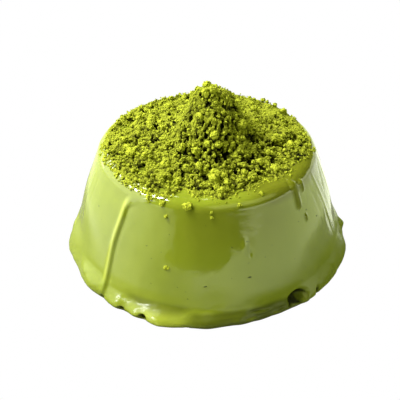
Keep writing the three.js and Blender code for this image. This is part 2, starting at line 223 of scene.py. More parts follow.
CREST_PAINTED_LIGHT = (-0.55, 1.1)  # middle and half width, across the run
CREST_LEVELS = ((30.4, 27), (4, 8))
WET_DRIP = 0.35  # a drip is wholly wet where it stands out this far
DULL_DRIP = 0.8
# Painted shadow along the table, higher at one bearing; painted shade in the hollows, by depth; and painted
# shade of this share on the lump in the scoop, by how far it stands out.
TABLE_SHADOW = 0.8
TABLE_SHADOW_HEIGHT = 0.9
TABLE_SHADOW_SWELL = (0.8, -72, 26)  # how much higher it is at this bearing, and the half width
TABLE_SHADOW_CORE = 0.2  # share of its height below which it is whole
HOLLOW_SHADE = (0.35, 1)  # by depth
LUMP_BARE = (0.3, 0.9)
LUMP_SHADE = 0.3
SATIN_FOOT = (13, 8)  # levels over which the foot becomes less glossy

# ---- finer forms of the powder ----

# It is coarse at the front, less so on the peak, and fine at the back right: fades by x and y.
FINE_AREA = ((-4, 14), (-6, 6))
COARSE_AREA = ((-29, -14), (14, 0))
PEAK_AREA = (11, 5)  # by the distance from its middle
COARSENESS = 0.45
COARSE_GAIN = 0.55
PEAK_LOSS = 0.5
FINE_LOSS = 0.25

# Crumbs of three sizes, side by side: cell, seed and reach in cells; length, amount and seed of their
# wobble; and their mean height, which is taken off.
CRUMB_KINDS = (
    ((2.7, 11, 0.7), (4, 0.9, 31), 0.55),
    ((1.15, 12, 0.72), (2.2, 0.3, 34), 0.6),
    ((0.6, 13, 0.8), (1, 0, 0), 0.6),
)
LARGE_DEPTH = 0.95
LARGE_SUNK = 0.3
MIDDLE_DEPTHS = (0.15, 0.45)  # in fine and in coarse powder
SMALL_DEPTH = 0.15

# Pits between them: cell, share of the cells that have one, and seed.
PITS = ((2.7, 0.95, 21), (2.0, 0.9, 25), (1.5, 0.7, 29))
PIT_WOBBLE = (1.6, 0.3)
PIT_RADII = (0.14, 0.36)  # in cells
PIT_WALL = (1, 0.6)  # in radii
PIT_DEPTH = 1.4
PITS_BY_COARSE = (0.1, 0.5)
PITS_ON_PEAK = (10, 5)
PEAK_PITS_LOSS = 0.5
# Painted light on the powder by its height over its smooth form: painted shade low in pits and gaps.
LIT_HEIGHTS = (-0.85, 0.1)  # in the next depths, in fine and in coarse powder
LIT_DEPTHS = (0.5, 0.9)

BED_COLUMNS = 500
BED_ROWS = 150
BED_INNERMOST = 0.004  # share of the way out
RAGGED_EDGE = (0.15, 0.6)  # at the back and at the front
RAGGED_FRONT = (8, -14)  # by y
RAGGED_RIPPLES = (3, 5)  # length and seed
RAGGED_RADIUS = 26
EDGE_ROUNDING = (1.0, 0.93)  # by share of the way out
EDGE_RELIEF = 0.25
BED_SUNK = 0.15
EDGE_SUNK = 0.35
SKIRT_OUT = 0.25  # the outermost row, just inside the glaze
SKIRT_SUNK = 0.1
# Painted light on the outermost row, then the most painted light on the bed, against the clumps.
SKIRT_PAINTED_LIGHT = 0.6
BED_PAINTED_LIGHT = 0.72  # how pale the bed is at most, against the clumps

# ---- clumps in the looks ----

# A clump is many small balls stuck together. All in radii of the clump.
FORM_COUNT = 6
FORM_CORE = 0.55
FORM_BALLS = (0.16, 0.36)
FORM_BALLS_AT = (0.5, 0.85)
FORM_ROUGHNESS = (0.95, 1.05)
FORM_SQUASH = (0.8, 1.15)
# Painted light on a clump, darker towards its foot, and painted shade on the feet by that light.
PAINTED_LIGHT_MIDDLE = 0.8  # light on a clump, and its gain from the middle to the top
PAINTED_LIGHT_GAIN = 0.7
FEET_PAINTED_SHADE = (0.1, 0.8)  # by that light

# Crumbs that cover a clump, most of them above.
COVER_UPWARDS = 0.9
COVER_AT = (0.68, 0.86)
COVER_SIZES = (0.7, 1.35)
# Painted light on covering crumbs: a random share, and less on those that face inwards.
COVER_SHADES = (0.75, 1)
COVER_LIT = (-0.9, 0.6)  # by how far they face outwards
COVER_NORMAL = (0.6, 0.5)  # shares of their own direction and of the clump's

# Clumps scattered over the bed.
TRIES_EACH = 30
SCATTER_INSET = 0.2
SCATTER_EDGE = 0.4
SCATTER_INNERMOST = 0.05
COARSE_POWER = 1.5
SCATTER_SUNK = (-0.3, 0.35)  # in radii
PIT_BOTTOM = -0.75  # none lies lower than this
SHADE_IN_PITS = 0.1

# Crumbs on the glaze past the powder's edge: name, count, first and last bearing and reach.
EDGE_POWDER = (
    ("edge_powder_left", 190, -180, -110, 1.0),
    ("edge_powder_front", 150, -110, 0, 1.4),
    ("edge_powder_back", 120, 0, 180, 0.5),
)
EDGE_CRUMBS = (0.16, 0.5)
EDGE_FROM = 0.6  # inwards of the edge
EDGE_POWER = 1.6
EDGE_OUT = 0.3
EDGE_SHADE = 0.95
EDGE_NORMAL = (0.6, 0.7)  # outwards and upwards

# A loose clump is one large crumb with smaller ones round it, in shares of its radius.
LOOSE_CRUMBS = (0.8, 0.62, 0.62, 0.62, 0.62)
LOOSE_SPREAD = 0.6
LOOSE_FROM_AXIS = 30
LOOSE_TILT = 0.3
LOOSE_UPWARDS = 0.4

# ---- colours and light ----

WHITE = (1, 1, 1)
GLAZE_CLOUDS = ((0.215, 0.265, 0.014), (0.24, 0.29, 0.019))
# Colours for painted light, for wet glaze and painted shade, and for painted shade.
GLAZE_SHADES = (
    ("painted_light", (0.38, 0.43, 0.045)), ("wet_and_painted_shade", (0.15, 0.17, 0.009)), ("painted_shade", (0.02, 0.024, 0.003)),
)
# The colour of painted shade on the powder, then the powder's own pale colour.
POWDER_PAINTED_SHADE = (0.007, 0.009, 0.001)
POWDER_PALE = (0.495, 0.552, 0.037)
POWDER_TINT = 0.86  # the darkest clumps against the palest
SPECK_COLOURS = ((0.035, 0.05, 0.004), (0.08, 0.1, 0.01))
GRAIN_SIZE = 0.42

# Softboxes: name, azimuth, elevation, width and height in metres, power in watts and colour.
SOFTBOXES = (
    ("window", 164, 20, 2.9, 1.8, 34, WHITE),
    ("overhead", 172, 58, 0.6, 0.6, 39, WHITE),
    ("fill", -50, 50, 1.6, 0.8, 4.5, (0.95, 1, 0.4)),
    ("back", 112, 42, 0.7, 0.35, 9, WHITE),
    ("lamp", 206, 28, 0.25, 0.2, 6, WHITE),
)
SOFTBOX_DISTANCE = 1.5  # metres
SOFTBOX_AIM = 20  # level

# The floor's corners. Its front edge is cut back, so that it leaves the middle of the wall dark.
FLOOR_EDGE = (
    (-1800, -1300), (-850, -1300), (-86, -127), (-56, -127), (-34, -122), (1, -146), (14, -142), (27, -156),
    (59, -220), (198, -565), (300, -470), (560, -665), (742, -1076), (900, -1300), (1800, -1300),
    (1800, 1800), (-1800, 1800),
)

# Its glow by bearing, dim at the front left.
FLOOR_GLOW = (
    (-180, (1.15, 1.2, 1.15)), (-160, (1.15, 1.2, 1.1)), (-146, (1.1, 1.2, 0.75)),
    (-138, (0.88, 0.96, 0.53)), (-131, (0.6, 0.66, 0.36)), (-124, (0.25, 0.28, 0.15)),
    (-108, (0.36, 0.4, 0.22)), (-95, (1.1, 1.2, 0.66)), (150, (1.15, 1.25, 0.69)),
    (180, (1.15, 1.2, 1.15)),
)
# A painted shadow of the cake in the floor's glow: its middle, the radii over which it fades, and the share
# of the glow left inside.
CONTACT_SHADOW_CENTRE = (4, 0, 0)
CONTACT_SHADOW_RADII = (56, 68)
CONTACT_SHADOW_GLOW = 0.15  # share of the glow inside the first radius

BOARD_DISTANCE = 1700
BOARD_FOOT = -100
BOARD_TOP = 12  # degrees above the horizon
BOARD_LIFT = (13, 0.35)  # degrees over which its foot lifts, and how steeply

CARD_CORNERS = ((47, 3), (55, 13), (95, 31), (303, 154), (200, 330), (60, 110), (36, 32))

CAMERA_PLACE = (-1.823, -248.26, 184.437)
CAMERA_DOWN = 34.55  # degrees below the horizon

rng = np.random.default_rng(7)


# ---- small helpers ----

def turn(a, b):
    """How far bearing a lies past bearing b, from -180 to 180."""
    return (a - b + 540) % 360 - 180


def hump(x):
    """1 in the middle, 0 from a distance of 1."""
    return np.where(np.abs(x) < 1, np.cos(np.pi / 2 * np.clip(x, -1, 1)) ** 2, 0)


def smooth(ended, whole, x):
    """0 at and past the first value, 1 at and past the second."""
    t = np.clip((x - ended) / (whole - ended), 0, 1)
    return t * t * (3 - 2 * t)


def mix(a, b, share):
    return a + (b - a) * share


def polar(bearing, radius, z):
    """Points by bearing, distance from the axis and level."""
    a = np.radians(bearing)
    return np.stack(np.broadcast_arrays(radius * np.cos(a), radius * np.sin(a), z), axis=-1)


def bearings_round(columns):
    """Evenly spaced bearings all round, as one row."""
    return (np.arange(columns) * 360 / columns - 180)[None, :]


def ripples(points, length, seed):
    """A soft random relief from about -1 to 1: waves of about this length that cross."""
    waves, peak = 9, 1.6
    draws = np.random.default_rng(seed)
    total = np.zeros(points.shape[:-1])
    for _ in range(waves):
        way = draws.normal(size=3)
        way /= np.linalg.norm(way)
        step = length * draws.uniform(0.6, 1.7)
        total += np.sin(points @ way * 2 * np.pi / step + draws.uniform(0, 2 * np.pi))
    return total / math.sqrt(waves / 2) / peak


def wobble(points, length, amount, seed):
    """The points, each moved a little, so that round forms come out uneven."""
    shifts = [ripples(points, length, seed + i) for i in range(3)]
    return points + amount * np.stack(shifts, axis=-1)


def jitter(cells, seed):
    """Three random numbers from 0 to 1 for each whole-number cell."""
    mixed = (cells * np.array((73856093, 19349663, 83492791))).sum(axis=1) + seed * 2654435761
    numbers = []
    for _ in range(3):
        mixed = (mixed * 6364136223846793005 + 1442695040888963407) & 0x7FFFFFFFFFFFFFFF
        numbers.append(((mixed >> 24) & 0xFFFFFF) / 0xFFFFFF)
    return np.stack(numbers, axis=1)


def crumbs(points, cell, seed, reach):
    """Round crumbs of about the cell's size, side by side: 1 on top, 0 in the gaps."""
    place = points / cell
    home = np.floor(place).astype(np.int64)
    nearest = np.full(len(points), np.inf)
    for shift in np.ndindex(3, 3, 3):
        corner = home + np.array(shift) - 1
        middle = corner + jitter(corner, seed)
        nearest = np.minimum(nearest, np.linalg.norm(place - middle, axis=1))
    return np.sqrt(np.clip(1 - (nearest / reach) ** 2, 0, 1))


def pits(points, cell, share, seed):
    """Scattered holes, in this share of the cells: 1 in a hole, 0 beside it."""
    place = (wobble(points, *PIT_WOBBLE, seed) / cell)[:, :2]
    home = np.floor(place).astype(np.int64)
    depth = np.zeros(len(points))
    for shift in np.ndindex(3, 3):
        corner = home + np.array(shift) - 1
        cells = np.pad(corner, ((0, 0), (0, 1)))
        middle = corner + jitter(cells, seed)[:, :2]
        chance, size, _ = jitter(cells, seed + 1).T
        radii = np.linalg.norm(place - middle, axis=1) / mix(*PIT_RADII, size**2)
        depth = np.maximum(depth, np.where(chance < share, smooth(*PIT_WALL, radii), 0))
    return depth


def unit(ways):
    return ways / np.linalg.norm(ways, axis=-1, keepdims=True)


def add_object(name, data):
    made = bpy.data.objects.new(name, data)
    bpy.context.scene.collection.objects.link(made)
    return made


def make_mesh(name, points, faces, shades=None, flat=False):
    """An object from points, faces of equal size and named values for each point."""
    mesh = bpy.data.meshes.new(name)
    sides = faces.shape[1]
    mesh.vertices.add(len(points))
    mesh.vertices.foreach_set("co", (points * MM).astype(np.float32).ravel())
    mesh.loops.add(faces.size)
    mesh.loops.foreach_set("vertex_index", faces.astype(np.int32).ravel())
    mesh.polygons.add(len(faces))
    mesh.polygons.foreach_set("loop_start", np.arange(0, faces.size, sides, dtype=np.int32))
    mesh.polygons.foreach_set("use_smooth", np.full(len(faces), not flat))
    mesh.update(calc_edges=True)
    for label, values in (shades or {}).items():
        layer = mesh.attributes.new(label, "FLOAT", "POINT")
        layer.data.foreach_set("value", values.astype(np.float32).ravel())
    return add_object(name, mesh)


def grid_faces(rows, columns):
    """Triangles of a grid that closes on itself, facing outwards."""
    row, column = np.meshgrid(np.arange(rows - 1), np.arange(columns), indexing="ij")
    beside = (column + 1) % columns
    a, b = row * columns + column, row * columns + beside
    c, d = a + columns, b + columns
    return np.stack((a, b, d, a, d, c), axis=-1).reshape(-1, 3)


def copies(bodies, triangles):
    """The points and triangles of many bodies that share one list of triangles."""
    count, corners = bodies.shape[:2]
    offsets = (np.arange(count) * corners)[:, None, None]
    return bodies.reshape(-1, 3), (triangles[None] + offsets).reshape(-1, 3)


# ---- the glaze's surface ----

SHOULDER_TURN = math.radians(90 - WALL_LEAN)
SHOULDER_END_RADIUS = TOP_RADIUS + SHOULDER_RADIUS * math.sin(SHOULDER_TURN)
SHOULDER_END_Z = TOP_HEIGHT - SHOULDER_RADIUS * (1 - math.cos(SHOULDER_TURN))


def wall_radius(z):
    return SHOULDER_END_RADIUS + (SHOULDER_END_Z - z) * math.tan(math.radians(WALL_LEAN))


def across_from(bearing, at, z):
    """The distance round the wall from one bearing to another, at a level."""
    return np.radians(turn(bearing, at)) * wall_radius(z)


def belly_out(bearing, z):
    """The wall's slight bulge, halfway up, most at both sides."""
    lowest, highest = BELLY_LEVELS
    height = (2 * z - lowest - highest) / (highest - lowest)
    return BELLY * hump(height) * mix(BELLY_AT_FRONT, 1, np.cos(np.radians(bearing)) ** 2)


def pool_shape(t):
    """How far a pool stands out at a share of its height."""
    rise = 1 - (1 - POOL_AT_TABLE) * (np.clip(POOL_WIDEST - t, 0, 1) / POOL_WIDEST) ** 2
    fall = (1 - np.clip((t - POOL_WIDEST) / (1 - POOL_WIDEST), 0, 1) ** 2) ** 2
    return np.where(t < POOL_WIDEST, rise, fall)


def pools_out(bearing, z):
    """How far the pools of glaze and the wall's own bulge stand out."""
    return belly_out(bearing, z) + sum(
        out * hump(turn(bearing, at) / half) * pool_shape(z / high) for at, half, out, high in POOLS
    )


def run_bearing(z):
    """The bearing of the long run at a level, with soft bends."""
    bearings, levels = zip(*reversed(RUN_PATH))
    shifts = (-2, -1, 0, 1, 2)
    return sum(np.interp(z + shift, levels, bearings) for shift in shifts) / len(shifts)


def run_out(bearing, z):
    """The long run, steep on the right and sloping gently to the sheet on its left."""
    across = across_from(bearing, run_bearing(z), z)
    length = smooth(*RUN_TOP, z) * smooth(*RUN_FOOT, z)
    sheet = SHEET_THICKNESS * smooth(0, SHEET_FADE, SHEET_TOP - z)
    left = sheet * hump(np.degrees(across / wall_radius(z)) / SHEET_WIDTH)
    left += RUN_PROUD * np.exp(-((np.minimum(across, 0) / RUN_CREST) ** 2))
    fall_end, fall_start = RUN_FALL
    right = (sheet + RUN_PROUD) * smooth(fall_end + RUN_HEAD_FALL * smooth(*RUN_HEAD, z), fall_start, across)
    groove_at, groove_half, groove_depth = RUN_GROOVE
    right -= groove_depth * hump((across - groove_at) / groove_half)
    return length * np.where(across < 0, left, right)


def drips_out(bearing, z):
    """The short drips, each a half-round bead with a round end."""
    out = 0
    for at, upper, lower, radius in DRIPS:
        beyond = np.maximum(0, lower - z) + np.maximum(0, z - upper)
        away = np.hypot(across_from(bearing, at, z), beyond) / radius
        out = np.maximum(out, DRIP_PROUD * np.sqrt(np.clip(1 - away**2, 0, 1)))
    return out


def form_out(bearing, z, at, level, half_width, half_height, out):
    """One hollow or bump."""
    across = across_from(bearing, at, z)
    return out * hump(np.hypot(across / half_width, (z - level) / half_height))


def streak_out(bearing, z, upper, lower, width, out):
    """A thin upright ridge or groove between two places on the wall."""
    at = np.interp(z, (lower[1], upper[1]), (lower[0], upper[0]))
    length = smooth(*STREAK_FOOT, z - lower[1]) * smooth(*STREAK_TOP, z - upper[1])
    return out * length * np.exp(-((across_from(bearing, at, z) / width) ** 2))


def relief(bearing, z, points):
    """All that stands proud of the turned form, square to it."""
    out = run_out(bearing, z) + drips_out(bearing, z)
    for form in (SCOOP, LUMP, *NOTCHES, *DENTS_AND_BUMPS):
        out = out + form_out(bearing, z, *form)
    for streak in STREAKS:
        out = out + streak_out(bearing, z, *streak)
    for depth, length, seed, stretch, fade in GLAZE_RIPPLES:
        out = out + depth * ripples(points / (1, 1, stretch), length, seed) * smooth(*fade, z)
    return out


def glaze_rows():
    """The turned profile from under the foot to the top's middle: radius, level, normal's tilt."""
    foot = np.arange(0, FOOT_ROWS_TOP, FOOT_ROW_HEIGHT)
    wall = np.linspace(FOOT_ROWS_TOP, SHOULDER_END_Z, WALL_ROWS)
    levels = np.concatenate((foot, wall[:-1]))
    bends = np.linspace(SHOULDER_TURN, 0, SHOULDER_ROWS)
    on_top = np.ones(len(TOP_ROWS))
    lean = math.radians(WALL_LEAN) * levels / SHOULDER_END_Z
    round_radius = TOP_RADIUS + SHOULDER_RADIUS * np.sin(bends)
    round_level = TOP_HEIGHT - SHOULDER_RADIUS * (1 - np.cos(bends))
    radius = np.concatenate((wall_radius(levels), round_radius, TOP_ROWS))
    level = np.concatenate((levels, round_level, TOP_HEIGHT * on_top))
    tilt = np.concatenate((lean, np.pi / 2 - bends, np.pi / 2 * on_top))
    return radius, level, tilt


def glaze_points():
    """Points of the glaze by row and column, and the shades at each."""
    bearing = bearings_round(GLAZE_COLUMNS)
    radius, level, tilt = (row[:, None] for row in glaze_rows())
    on_wall = level < SHOULDER_END_Z - TINY
    undercut = UNDERCUT * np.maximum(0, 1 - level / UNDERCUT_HEIGHT) ** 2
    turned = radius + np.where(on_wall, pools_out(bearing, level) - undercut, 0)
    out = relief(bearing, level, polar(bearing, turned, level)) * smooth(*RELIEF_ON_TOP, radius)
    points = polar(bearing, turned + out * np.cos(tilt), level + out * np.sin(tilt))
    points[..., 2] = np.maximum(points[..., 2], 0)
    shades = {"foot": smooth(*SATIN_FOOT, level)}
    for name, shade in (("wet_and_painted_shade", wetness_and_painted_shade), ("painted_light", painted_lighting), ("painted_shade", painted_shading), ("dull", dullness)):
        shades[name] = shade(bearing, level)
    return points, {name: np.broadcast_to(shade, points.shape[:2]).ravel() for name, shade in shades.items()}


def patch(bearing, z, strength, by_level, by_bearing):
    """A patch with soft borders."""
    for place, fades in ((z, by_level), (bearing, by_bearing)):
        for fade in fades:
            strength = strength * smooth(*fade, place)
    return strength


def patch_round(bearing, z, strength, by_level, at, half):
    """A patch that is strongest at one bearing."""
    return strength * smooth(*by_level, z) * hump(turn(bearing, at) / half)


def drips_here(bearing, z):
    """1 on the drips, 0 beside them."""
    return np.clip(drips_out(bearing, z) / WET_DRIP, 0, 1)


def wetness_and_painted_shade(bearing, z):
    """Where it is darker: wet glaze high on the front right and in the drips, and painted shade high on the
    front wall.
    """
    shoulder, front = (patch(bearing, z, *place) for place in WET_AND_SHADE_PATCHES)
    return np.maximum(np.maximum(shoulder, front), drips_here(bearing, z))


def painted_lighting(bearing, z):
    """Painted light: paler on the long run's crest and in the widest pool, where more light falls."""
    middle, half = CREST_PAINTED_LIGHT
    crest = hump((across_from(bearing, run_bearing(z), z) - middle) / half)
    return np.maximum(patch(bearing, z, crest, CREST_LEVELS, ()), patch_round(bearing, z, *POOL_PAINTED_LIGHT))


def painted_shading(bearing, z):
    """Painted shade where little light comes: along the table, in the hollows, over the widest pool and
    right of it.
    """
    swell, at, half = TABLE_SHADOW_SWELL
    height = TABLE_SHADOW_HEIGHT + swell * hump(turn(bearing, at) / half)
    painted_shade = TABLE_SHADOW * smooth(height, TABLE_SHADOW_CORE * height, z)
    middle, half_height = CREASE_LEVEL
    crease = patch(bearing, z, *CREASE_SHADE) * hump((z - middle) / half_height)
    painted_shade = np.maximum(painted_shade, np.maximum(patch(bearing, z, *LEE_SHADE), crease))
    for hollow in (SCOOP, *NOTCHES):
        painted_shade = np.maximum(painted_shade, smooth(*HOLLOW_SHADE, -form_out(bearing, z, *hollow)))
    return mix(painted_shade, LUMP_SHADE, smooth(*LUMP_BARE, form_out(bearing, z, *LUMP)))


def dullness(bearing, z):
    """Where it mirrors little: low on the wall, in the drips and where shade is painted."""
    dull = np.maximum(patch(bearing, z, *DULL_BAND), painted_shading(bearing, z))
    for place in DULL_FOOT:
        dull = np.maximum(dull, patch_round(bearing, z, *place))
    return np.maximum(dull, DULL_DRIP * drips_here(bearing, z))


def build_glaze():
    """The glaze as a closed mesh: its rows, and a fan at the bottom and at the top."""
    grid, shades = glaze_points()
    rows = len(grid)
    points = np.concatenate((grid.reshape(-1, 3), [[0, 0, 0], [0, 0, TOP_HEIGHT]]))
    first = np.arange(GLAZE_COLUMNS)
    beside = (first + 1) % GLAZE_COLUMNS
    last = (rows - 1) * GLAZE_COLUMNS
    middle = np.full(GLAZE_COLUMNS, rows * GLAZE_COLUMNS)
    bottom = np.stack((middle, beside, first), axis=1)
    top = np.stack((middle + 1, last + first, last + beside), axis=1)
    faces = np.concatenate((grid_faces(rows, GLAZE_COLUMNS), bottom, top))
    shades = {name: np.append(shade, (0, 0)) for name, shade in shades.items()}
    piece = make_mesh("glaze", points, faces, shades)
    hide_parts("glazed_cake")
    return piece


# ---- the powder's surface ----

def heap_edge(bearing):
    return HEAP_EDGE - sum(inwards * hump(turn(bearing, at) / half) for at, half, inwards in EDGE_BAYS)


def from_peak(x, y):
    return np.hypot(x - PEAK_CENTRE[0], y - PEAK_CENTRE[1])


def soft_lumps(x, y):
    total = 0
    for i in range(LUMPS_WAVES):
        way = i * GOLDEN_TURN
        length = LUMPS_LENGTH * mix(*LUMPS_LENGTHS, i / LUMPS_WAVES)
        across = x * math.cos(way) + y * math.sin(way)
        total = total + np.sin(2 * np.pi * across / length + LUMPS_PHASE * i)
    return total / math.sqrt(LUMPS_WAVES / 2)


def heap_thickness(along, bearing):
    """The powder's thickness, square to the glaze."""
    spot = polar(bearing, along, 0)
    x, y = spot[..., 0], spot[..., 1]
    distance = np.maximum(from_peak(x, y), TINY)
    rightness = ((x - PEAK_CENTRE[0]) / distance + 1) / 2
    spread = mix(*PEAK_SPREADS, rightness)
    peak = PEAK_HEIGHT * np.exp(-((distance / spread) ** PEAK_POWER))
    inwards = np.maximum(0, 1 - along / heap_edge(bearing))
    bed = mix(HEAP_EDGE_THICKNESS, BED_THICKNESS, smooth(*BED_RISE, inwards))
    lumps = LUMPS_HEIGHT * np.minimum(1, LUMPS_AT_EDGE + LUMPS_GAIN * inwards)
    return bed + peak + lumps * soft_lumps(x, y)


def top_point(along, bearing, lift):
    """A point over the top and shoulder, by its distance from the axis along the surface."""
    bend = np.maximum(0, along - TOP_RADIUS) / SHOULDER_RADIUS
    reach = SHOULDER_RADIUS + lift
    radius = np.minimum(along, TOP_RADIUS) + reach * np.sin(bend)
    return polar(bearing, radius, TOP_HEIGHT - SHOULDER_RADIUS + reach * np.cos(bend))


def heap_point(along, bearing):
    return top_point(along, bearing, HEAP_GAP + heap_thickness(along, bearing))


def heap_normal(along, bearing):
    """The direction square to the powder, from points a step away on each side."""
    step = 0.4
    turned = np.degrees(step / np.maximum(along, 1))
    outwards = heap_point(along + step, bearing) - heap_point(along - step, bearing)
    sideways = heap_point(along, bearing + turned) - heap_point(along, bearing - turned)
    return unit(np.cross(outwards, sideways))


def area(x, y, by_x, by_y):
    return smooth(*by_x, x) * smooth(*by_y, y)


def crumbliness(x, y):
    """How coarse the powder is at a place."""
    coarse = area(x, y, *COARSE_AREA) * (1 - PEAK_LOSS * smooth(*PEAK_AREA, from_peak(x, y)))
    return np.clip(COARSENESS + COARSE_GAIN * coarse - FINE_LOSS * area(x, y, *FINE_AREA), 0, 1)


def powder_height(points):
    """How far the powder stands over its smooth form, and the painted light on it: painted shade low in pits
    and gaps.
    """
    x, y = points[:, 0], points[:, 1]
    coarse = crumbliness(x, y)
    large, middle, small = (
        crumbs(wobble(points, *uneven), *kind) - mean for kind, uneven, mean in CRUMB_KINDS
    )
    holes = np.max([pits(points, *kind) for kind in PITS], axis=0) * smooth(*PITS_BY_COARSE, coarse)
    holes = holes * (1 - PEAK_PITS_LOSS * smooth(*PITS_ON_PEAK, from_peak(x, y)))
    height = (LARGE_DEPTH * large - LARGE_SUNK) * coarse**2 + mix(*MIDDLE_DEPTHS, coarse) * middle
    height += SMALL_DEPTH * small - PIT_DEPTH * holes
    return height, smooth(*LIT_HEIGHTS, height / mix(*LIT_DEPTHS, coarse))


def build_bed():
    """The powder's own surface: crumbs packed side by side, with pits between them."""
    bearing = bearings_round(BED_COLUMNS)
    rim = polar(bearing, RAGGED_RADIUS, 0)
    raggedness = mix(*RAGGED_EDGE, smooth(*RAGGED_FRONT, rim[..., 1]))
    edge = heap_edge(bearing) + raggedness * ripples(rim, *RAGGED_RIPPLES)
    share = np.linspace(1, BED_INNERMOST, BED_ROWS)[:, None]
    along = share * edge
    bearings = np.broadcast_to(bearing, along.shape)
    smooth_bed = heap_point(along, bearings).reshape(-1, 3)
    normal = heap_normal(along, bearings).reshape(-1, 3)
    height, shade = powder_height(smooth_bed)
    inside = smooth(*EDGE_ROUNDING, np.broadcast_to(share, along.shape)).ravel()
    out = height * mix(EDGE_RELIEF, 1, inside) - BED_SUNK - EDGE_SUNK * (1 - inside)
    skirt = top_point(edge[0] + SKIRT_OUT, bearing[0], -SKIRT_SUNK)
    points = np.concatenate((skirt, smooth_bed + normal * out[:, None]))
    # Painted light on the bed, from its height: painted shade in its pits and gaps.
    lift = np.concatenate((np.full(BED_COLUMNS, SKIRT_PAINTED_LIGHT), shade * BED_PAINTED_LIGHT))
    faces = grid_faces(BED_ROWS + 1, BED_COLUMNS)
    piece = make_mesh("powder_bed", points, faces, {"lift": lift, "tint": np.zeros(len(points))})
    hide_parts("powder_heap")
    return piece


# ---- clumps of powder ----

# Where clumps lie, the way the surface faces there, their radii and the painted light on them, by how much
# light reaches them.
Places = namedtuple("Places", "spots normals sizes shades")


def ball(detail):
    """The points and triangles of a ball of radius 1."""
    made = bmesh.new()
    bmesh.ops.create_icosphere(made, subdivisions=detail, radius=1)
    points = np.array([v.co for v in made.verts])
    faces = np.array([[v.index for v in f.verts] for f in made.faces])
    made.free()
    return points, faces


def clump_form(ways, balls):
    """A clump's points: the outside of many small balls, seen from the middle."""
    reach = np.full(len(ways), FORM_CORE)
    for _ in range(balls):
        size = rng.uniform(*FORM_BALLS)
        middle = rng.normal(size=3)
        middle *= rng.uniform(*FORM_BALLS_AT) / np.linalg.norm(middle)
        facing = ways @ middle
        inside = size**2 - middle @ middle + facing**2
        outside_at = facing + np.sqrt(np.maximum(inside, 0))
        reach = np.maximum(reach, np.where((inside > 0) & (facing > 0), outside_at, 0))
    return ways * reach[:, None] * rng.uniform(*FORM_ROUGHNESS, (len(ways), 1))


def random_turns(count):
    """Rotation matrices, each by a random quaternion."""
    q = unit(rng.normal(size=(count, 4)))
    cross = np.cross(q[:, None, 1:], np.eye(3)).swapaxes(1, 2)
    return np.eye(3) + 2 * q[:, :1, None] * cross + 2 * cross @ cross


def build_clumps(name, places, detail, balls, flat=False):
    """Many clumps as one piece: a few forms, turned and scaled at random, with painted shade on their feet.
    """
    ways, triangles = ball(detail)
    forms = np.stack([clump_form(ways, balls) for _ in range(FORM_COUNT)])
    count = len(places.spots)
    squash = rng.uniform(*FORM_SQUASH, (count, 1, 3))
    chosen = forms[rng.integers(0, FORM_COUNT, count)]
    bodies = np.einsum("nvi,nij->nvj", chosen * squash, random_turns(count))
    height = np.einsum("nvi,ni->nv", bodies, places.normals)
    # Painted light: darker towards each clump's foot, where shade falls.
    lift = smooth(*FEET_PAINTED_SHADE, places.shades[:, None] * (PAINTED_LIGHT_MIDDLE + PAINTED_LIGHT_GAIN * height))
    tint = np.broadcast_to(rng.uniform(-1, 1, (count, 1)), lift.shape)
    points, faces = copies(places.spots[:, None, :] + bodies * places.sizes[:, None, None], triangles)
    return make_mesh(name, points, faces, {"lift": lift, "tint": tint}, flat)


def crumbs_over(places, crumb, cover):
    """Crumbs of about this radius on each clump's outside. Cover is their share of its area."""
    spots, normals, sizes, shades = [], [], [], []
    for spot, normal, size, shade in zip(*places):
        count = round(cover * (size / crumb) ** 2)
        ways = unit(rng.normal(size=(count, 3)) + COVER_UPWARDS * normal)
        spots.append(spot + ways * size * rng.uniform(*COVER_AT, (count, 1)))
        normals.append(COVER_NORMAL[0] * ways + COVER_NORMAL[1] * normal)
        sizes.append(crumb * rng.uniform(*COVER_SIZES, count))
        # Painted shade on crumbs that face inwards.
        shades.append(shade * smooth(*COVER_LIT, ways @ normal) * rng.uniform(*COVER_SHADES, count))
    return Places(*(np.concatenate(part) for part in (spots, normals, sizes, shades)))


def seeded(state):
    """The same random numbers as in the solids."""
    while True:
        state = (state + 0x6D2B79F5) & 0xFFFFFFFF
        t = (state ^ (state >> 15)) * (1 | state) & 0xFFFFFFFF
        t = ((t + ((t ^ (t >> 7)) * (61 | t) & 0xFFFFFFFF)) & 0xFFFFFFFF) ^ t
        yield (t ^ (t >> 14)) / 4294967296


def large_clumps():
    """The largest clumps, the same as in the solids."""
    draw = seeded(CLUMP_SEED)
    kept = [
        (along, at, size, *top_point(along, at, HEAP_GAP + HEAP_EDGE_THICKNESS + RIM_CLUMP_OUT * size))
        for at, along, size in RIM_CLUMPS
    ]
    while len(kept) < CLUMP_COUNT:
        share = (len(kept) / CLUMP_COUNT) ** CLUMP_SHRINK_POWER
        bearing = 360 * next(draw) - 180
        backness = max(0, math.sin(math.radians(bearing)))
        size = mix(*CLUMP_SIZES, share) * mix(1, CLUMP_AT_BACK, backness)
        along = (heap_edge(bearing) - size * CLUMP_STRETCH) * math.sqrt(next(draw))
        spot = top_point(along, bearing, HEAP_GAP + heap_thickness(along, bearing) + CLUMP_OUT * size)
        if all(math.dist(spot, other) > CLUMP_SPACING * max(size, radius) for _, _, radius, *other in kept):
            kept.append((along, bearing, size, *spot))
    alongs, bearings, sizes, *spots = np.array(kept).T
    return Places(np.stack(spots, axis=1), heap_normal(alongs, bearings), sizes, np.ones(len(sizes)))


def in_cells_near(cells, home):
    """What lies in one square cell and in the eight round it."""
    steps = (-1, 0, 1)
    return [other for i in steps for j in steps for other in cells.get((home[0] + i, home[1] + j), ())]


